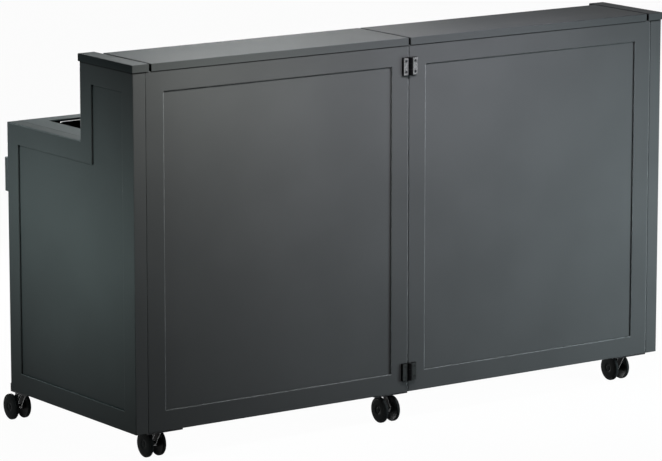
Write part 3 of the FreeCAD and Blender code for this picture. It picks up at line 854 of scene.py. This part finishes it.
@dataclass
class IceBin:
    """The moulded ice bin and the bright rim round its mouth. Lengths are in metres."""

    wall: float = 0.003
    taper: float = 0.014
    corner: float = 0.03
    flange_thick: float = 0.003
    flange_corner: float = 0.006
    flange_width: float = 0.013
    floor_round: float = 0.018
    lip_round: float = 0.0012
    rim_round: float = 0.0003
    bright_edge: float = 0.0012
    corner_segments: int = 10
    arc_steps: int = 5
    rim_sharp_angle: float = 30.0

    def rings(self) -> list[Ring]:
        """Returns the tub's rings, from the middle of its floor over the lip to its foot."""
        low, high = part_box("ice_bin")
        out_x = (high.x - low.x) / 2
        out_y = (high.y - low.y) / 2
        ledge = high.z - self.flange_thick
        floor = low.z + self.wall
        drawn = self.flange_width + self.wall
        rise = high.z - floor

        def inner(level: float, inset: float, corner: float) -> Ring:
            """Returns a ring of the inner wall at a level, drawn in by an inset."""
            lean = self.taper * (high.z - level) / rise
            side = drawn + lean + inset
            return Ring(out_x - side, out_y - side, corner, level)

        wall_corner = self.corner - self.wall
        made = []
        for step in range(self.arc_steps + 1):
            turn = math.pi / 2 * step / self.arc_steps
            inset = self.floor_round * (1 - math.sin(turn))
            level = floor + self.floor_round * (1 - math.cos(turn))
            made.append(inner(level, inset, wall_corner - inset * wall_corner / self.corner))
        made.append(inner(high.z - self.lip_round, 0, wall_corner))
        made.append(inner(high.z, -self.lip_round, wall_corner + self.lip_round))
        edge = self.lip_round
        made.append(Ring(out_x - edge, out_y - edge, self.flange_corner - edge, high.z))
        made.append(Ring(out_x, out_y, self.flange_corner, high.z - edge))
        made.append(Ring(out_x, out_y, self.flange_corner, ledge))
        hang_x = out_x - self.flange_width
        hang_y = out_y - self.flange_width
        made.append(Ring(hang_x, hang_y, self.corner, ledge))
        made.append(Ring(hang_x - self.taper, hang_y - self.taper, self.corner, low.z))
        return made

    def build(self, wardrobe: Wardrobe) -> None:
        """Makes the tub and its rim in place of their plain nodes."""
        self.build_tub(wardrobe)
        self.build_rim(wardrobe)

    def build_tub(self, wardrobe: Wardrobe) -> None:
        """Lofts the tub through its rings and closes both ends."""
        low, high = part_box("ice_bin")
        mesh = bmesh.new()
        for end in loft(mesh, self.rings(), (low + high) / 2, self.corner_segments):
            bmesh.ops.contextual_create(mesh, geom=end)
        wardrobe.piece("ice_bin_tub", mesh, "bin_black", "ice_bin", ("ice_bin",))

    def build_rim(self, wardrobe: Wardrobe) -> None:
        """Lofts the rim as a black cover round the mouth and a bright bevelled edge inside it."""
        low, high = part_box("ice_bin_rim")
        out_x = (high.x - low.x) / 2
        out_y = (high.y - low.y) / 2
        ease = self.rim_round
        mouth = self.flange_width + self.wall
        mouth_corner = self.corner - self.wall
        bare = mouth - self.bright_edge
        bare_corner = mouth_corner + self.bright_edge
        bands = {
            ("ice_bin_rim_cover", "bin_black", ("ice_bin_rim",)): (
                (0, self.flange_corner, low.z), (0, self.flange_corner, high.z - ease),
                (ease, self.flange_corner - ease, high.z),
                (bare, bare_corner, high.z), (bare, bare_corner, low.z),
            ),
            ("ice_bin_bright_edge", "rim_steel", ()): (
                (bare, bare_corner, low.z), (bare, bare_corner, high.z),
                (mouth, mouth_corner, high.z - self.bright_edge), (mouth, mouth_corner, low.z),
            ),
        }
        for (name, slot, nodes), section in bands.items():
            rings = [Ring(out_x - inset, out_y - inset, corner, level) for inset, corner, level in section]
            mesh = bmesh.new()
            loft(mesh, rings + rings[:1], (low + high) / 2, self.corner_segments)
            wardrobe.piece(name, mesh, slot, "ice_bin", nodes, self.rim_sharp_angle)


@dataclass(frozen=True)
class SoftLamp:
    """A rectangular studio lamp. Lengths are in metres, the power in watts and the spread in degrees."""

    name: str
    place: Triple
    aim: Triple
    size: Pair
    power: float
    colour: Colour = (1.0, 1.0, 1.0)
    spread: float = 180.0

    def build(self) -> None:
        """Adds the lamp, which lights the object but isn't seen itself."""
        light = bpy.data.lights.new(self.name, "AREA")
        light.shape = "RECTANGLE"
        light.size = self.size[0]
        light.size_y = self.size[1]
        light.energy = self.power
        light.color = self.colour
        light.spread = math.radians(self.spread)
        made = bpy.data.objects.new(self.name, light)
        made.location = self.place
        made.rotation_euler = (Vector(self.aim) - Vector(self.place)).to_track_quat("-Z", "Y").to_euler()
        made.visible_camera = False
        bpy.context.scene.collection.objects.link(made)


LAMPS = (
    SoftLamp(
        "left_front_strip", (-0.7, -0.9, 1.5), (-0.65, -0.35, 0.98), (0.6, 0.3), 2.60,
        (1.0, 1.01, 0.96), 90.0,
    ),
    SoftLamp(
        "middle_front_strip", (0.2, -1.2, 1.7), (0.1, -0.35, 0.95), (1.0, 0.3), 5.28,
        (0.98, 0.97, 1.05), 80.0,
    ),
    SoftLamp(
        "right_front_box", (1.3, -1.3, 0.5), (0.8, -0.35, 0.5), (0.8, 0.4), 19.64,
        (0.87, 1.01, 1.06), 180.0,
    ),
    SoftLamp(
        "middle_low", (0.35, -0.95, 0.3), (0.1, -0.35, 0.3), (0.5, 0.3), 0.26,
        (0.9, 1.0, 1.05), 140.0,
    ),
    SoftLamp(
        "left_side_near", (-1.7, -0.05, 0.62), (-0.9, -0.05, 0.6), (1.0, 0.2), 1.20,
        (0.8, 1.03, 1.0), 80.0,
    ),
    SoftLamp(
        "left_side_wide", (-2.4, -0.2, 0.64), (-0.9, 0.1, 0.66), (1.0, 0.4), 0.80,
        (0.82, 1.0, 1.04), 60.0,
    ),
    SoftLamp(
        "left_rear_spot", (-1.6, 0.5, 1.0), (-0.92, 0.32, 0.75), (0.3, 0.3), 0.44,
        (0.82, 1.0, 1.04), 90.0,
    ),
    SoftLamp(
        "rear_high_far", (1.6, 3.2, 2.0), (-0.3, -0.2, 1.1), (1.3, 0.7), 12.80,
        (0.88, 1.04, 1.04), 180.0,
    ),
    SoftLamp(
        "rear_high_near", (0.5, 1.4, 1.5), (-0.4, -0.2, 1.1), (0.6, 0.4), 1.80,
        (0.98, 0.96, 1.06), 180.0,
    ),
    SoftLamp(
        "rear_high_middle", (1.2, 2.0, 1.7), (0.1, -0.2, 1.1), (1.0, 0.5), 9.80,
        (1.04, 1.0, 0.96), 180.0,
    ),
    SoftLamp(
        "rear_fill", (0.0, 3.0, 0.5), (0.0, 0.2, 0.5), (2.0, 0.6), 35.0,
        spread=80.0,
    ),
)


@dataclass
class Studio:
    """Pale floor, white surroundings, lamps and the camera at the photograph's viewing angle."""

    floor_half: float = 60.0
    floor_pale: float = 0.95
    floor_bounce: float = 0.08
    white_share: float = 0.97
    camera_place: Triple = (-6.5161, -9.2509, 2.6787)
    camera_yaw: float = 0.6118
    camera_pitch: float = -0.1903
    focal_pixels: float = 3972.89
    image_width: float = 662.0
    sensor: float = 36.0
    far_clip: float = 200.0

    def build(self) -> None:
        """Adds the floor, the world, the lamps and the camera."""
        self.build_floor()
        self.build_world()
        for lamp in LAMPS:
            lamp.build()
        self.build_camera()
        bpy.context.scene.view_settings.view_transform = "Standard"

    def seen_white(self, graph: Graph) -> Socket:
        """Returns 1 for rays that look at the surroundings and 0 for rays that only light the object."""
        rays = [graph.node("ShaderNodeLightPath", {}, {}, f"Is {kind} Ray")
                for kind in ("Camera", "Glossy", "Transmission")]
        return graph.math("MINIMUM", rays[0] + rays[1] + rays[2], 1.0)

    def build_floor(self) -> None:
        """Adds the floor, white to the eye but keeping a soft shadow."""
        mesh = bmesh.new()
        bmesh.ops.create_grid(mesh, x_segments=1, y_segments=1, size=self.floor_half)
        data = bpy.data.meshes.new("floor")
        mesh.to_mesh(data)
        mesh.free()
        material = bpy.data.materials.new("pale_floor")
        graph = Graph(material)
        seen = self.seen_white(graph)
        tone = graph.blend(seen, (self.floor_bounce,) * 3, (self.floor_pale,) * 3)
        matt = graph.node("ShaderNodeBsdfDiffuse", {}, {"Color": tone})
        white = graph.node("ShaderNodeEmission", {}, {"Strength": 1.0})
        shader = graph.node("ShaderNodeMixShader", {}, {0: seen * self.white_share, 1: matt, 2: white})
        graph.node("ShaderNodeOutputMaterial", {}, {"Surface": shader})
        data.materials.append(material)
        floor = bpy.data.objects.new("floor", data)
        bpy.context.scene.collection.objects.link(floor)

    def build_world(self) -> None:
        """Adds a surround that is white to look at, also in reflections, and sheds no other light."""
        world = bpy.data.worlds.new("white_surround")
        bpy.context.scene.world = world
        graph = Graph(world)
        white = {"Color": (1.0, 1.0, 1.0, 1.0), "Strength": self.seen_white(graph)}
        shader = graph.node("ShaderNodeBackground", {}, white)
        graph.node("ShaderNodeOutputWorld", {}, {"Surface": shader})

    def build_camera(self) -> None:
        """Adds the camera."""
        data = bpy.data.cameras.new("camera")
        data.sensor_fit = "HORIZONTAL"
        data.sensor_width = self.sensor
        data.lens = self.focal_pixels / self.image_width * self.sensor
        data.clip_end = self.far_clip
        level = math.cos(self.camera_pitch)
        right = math.sin(self.camera_yaw) * level
        ahead = math.cos(self.camera_yaw) * level
        look = Vector((right, ahead, math.sin(self.camera_pitch)))
        made = bpy.data.objects.new("camera", data)
        made.location = self.camera_place
        made.rotation_euler = look.to_track_quat("-Z", "Y").to_euler()
        bpy.context.scene.collection.objects.link(made)
        bpy.context.scene.camera = made


def main() -> None:
    """Dresses the frame, adds the new pieces and sets the studio up."""
    logging.basicConfig(level=logging.INFO, format="%(message)s")
    wardrobe = Wardrobe()
    wardrobe.dress_nodes()
    for part in (FoldHinges(), BracketScrews(), CasterWheels(), IceBin()):
        part.build(wardrobe)
    Studio().build()


if __name__ == "__main__":
    main()
